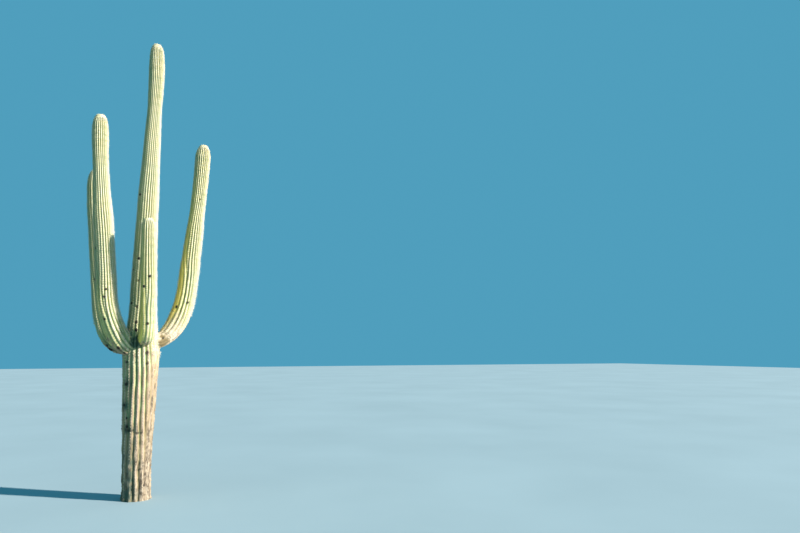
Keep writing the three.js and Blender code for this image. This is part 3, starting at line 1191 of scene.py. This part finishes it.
# %% [markdown]
# ## Spine and felt finishes
# New spines are straw coloured. Grown ones bleach to ivory and weather to grey on the old
# trunk. On the shady side the spines and felt are painted a dull green as painted shade, and
# yellow as painted bounced light where the skin is. Spines are horn-like and slightly glossy.
# Felt is short, matt wool that covers the very top of a stem in a white cap and turns the
# colour of cork with age.

# %% Spine materials
PAINTED_SHADE_SPINE = "#d2d2a8"
PAINTED_BOUNCE_SPINE = "#e4d478"
TINT_MM = 60


def tinted_material(name, dark, pale, rough):
    material, tree, shader = new_material(name)
    tint = fit_range(tree, noise(tree, own_place(tree), TINT_MM), 0.3, 0.7)
    # Painted shade: towards the shady side the colour turns dull green, and yellow where bounced light
    # is painted.
    shady = blend(tree, kept(tree, "painted_bounce"), PAINTED_SHADE_SPINE, PAINTED_BOUNCE_SPINE)
    colour = blend(tree, kept(tree, "bleach_and_shade"), shady, blend(tree, tint, dark, pale))
    set_up(tree, shader, {"Base Color": colour, "Roughness": rough})
    return material


SPINE_LOOKS = {
    "young": tinted_material("straw_horn_spines", "#e6d29c", "#f8ebc8", 0.45),
    "grown": tinted_material("ivory_horn_spines", "#f2e4c0", "#fef9ea", 0.45),
    "old": tinted_material("weathered_grey_spines", "#a3967f", "#cdbfa5", 0.6),
}
FELT = tinted_material("pale_wool_felt", "#ece6cd", "#fffdf6", 0.9)
OLD_FELT = tinted_material("weathered_grey_felt", "#a6967c", "#c9b99f", 0.95)

# %% [markdown]
# ## Set the spines
# The youngest areoles are those near the tip, and the oldest are those low on the trunk and
# under the elbows. In between the kinds are mixed at random, so no line shows where one gives
# way to the next. A cluster grows with the width of its rib.

# %% Spines on every stem
YOUNG_REACH = 0.75
OLD_HEIGHT = 1.7
OLD_BEND = 0.6
MIXED = {"young": 0.25, "old": 0.3, "bend": 0.1}
UNDERSIDE = 0.25
FULL_WIDTH = 0.034
CLUSTER_SIZES = (0.5, 1.1)
TIP_CLUSTER = 0.95
TIP_REACH = 0.4
WOOL_REACH = 0.07
WOOLLY = 0.9
OLD_PAD = 0.65


def kinds_of(spots, rng, is_trunk):
    """The kind of spine cluster that each areole carries."""
    jitter = rng.uniform(-1, 1, len(spots.place))
    kind = np.full(len(jitter), "grown")
    kind[spots.from_tip + MIXED["young"] * jitter < YOUNG_REACH] = "young"
    if is_trunk:
        kind[spots.place[:, 2] + MIXED["old"] * jitter < OLD_HEIGHT] = "old"
    else:
        in_bend = spots.along + MIXED["bend"] * jitter < OLD_BEND
        kind[in_bend & (spots.under > UNDERSIDE)] = "old"
    return kind


def set_pads(name, spots, kind, rng):
    wool = 1 + WOOLLY * np.clip(1 - spots.from_tip / WOOL_REACH, 0, 1)
    old = kind == "old"
    for label, chosen, size, felt in (("areoles", ~old, 1, FELT),
                                      ("old_areoles", old, OLD_PAD, OLD_FELT)):
        if chosen.any():
            pads = scattered(spots, chosen, PAD, size * wool, rng, spin=False)
            finish_piece(joined_mesh(f"{name}_{label}", [pads]), name, felt)


def set_spines(name, seed):
    spots = areoles(surfaces[name])
    rng = np.random.default_rng(seed)
    kind = kinds_of(spots, rng, name == "trunk")
    draw = rng.integers(0, CLUSTER_DRAWS, len(kind))
    sizes = np.clip(spots.rib_width / FULL_WIDTH, *CLUSTER_SIZES)
    sizes = np.maximum(sizes, TIP_CLUSTER - spots.from_tip / TIP_REACH)
    for label, draws in CLUSTERS.items():
        if label not in kind:
            continue
        groups = [scattered(spots, (kind == label) & (draw == k), template, sizes, rng)
                  for k, template in enumerate(draws)]
        piece = joined_mesh(f"{name}_{label}_spines", groups)
        finish_piece(piece, name, SPINE_LOOKS[label])
        print(piece.name, len(piece.data.polygons), "triangles")
    set_pads(name, spots, kind, rng)


for number, name in enumerate(LIMBS):
    set_spines(name, 31 * (number + 1))
